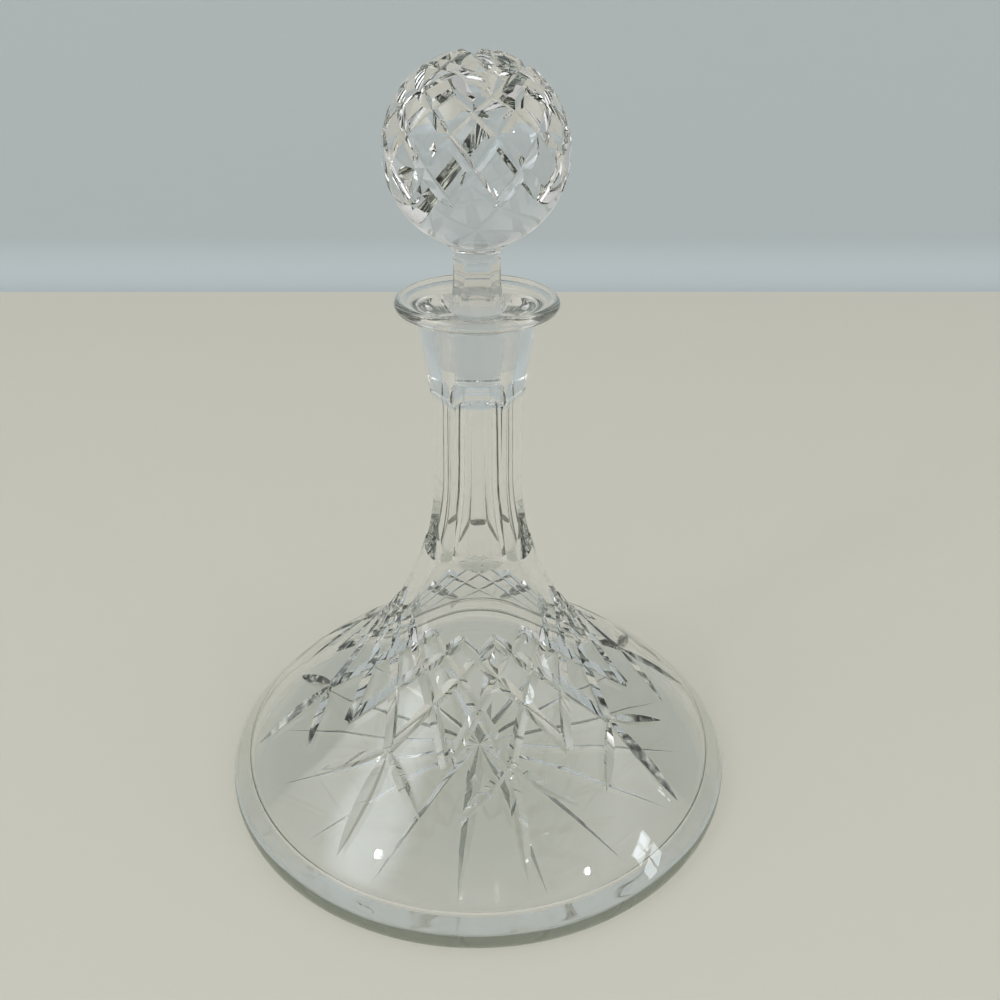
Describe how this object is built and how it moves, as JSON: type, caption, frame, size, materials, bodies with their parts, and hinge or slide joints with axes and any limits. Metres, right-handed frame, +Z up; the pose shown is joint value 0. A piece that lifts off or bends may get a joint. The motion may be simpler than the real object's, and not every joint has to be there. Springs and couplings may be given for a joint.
{
  "type": "ships decanter",
  "caption": "Broad-based cut-glass decanter with a flaring shoulder, panelled neck and wide lip, closed by a lift-out ball stopper on a ground peg.",
  "frame": {"origin": "centre of the base, on the surface that the decanter stands on", "axes": "+Z up along the neck and the stopper, -Y towards the viewer of the picture"},
  "size_m": [0.19, 0.19, 0.2567],
  "materials": {
    "vessel_glass": "polished clear cut glass, with a ground seat inside the neck",
    "stopper_glass": "polished clear cut glass, with a ground matt peg"
  },
  "bodies": {
    "decanter": {"decanter": "vessel_glass"},
    "stopper": {"stopper": "stopper_glass"}
  },
  "joints": [
    {"name": "stopper_lift", "type": "slide", "parent": "decanter", "child": "stopper", "axis": [0, 0, 1], "range_m": [0, 0.06]}
  ]
}
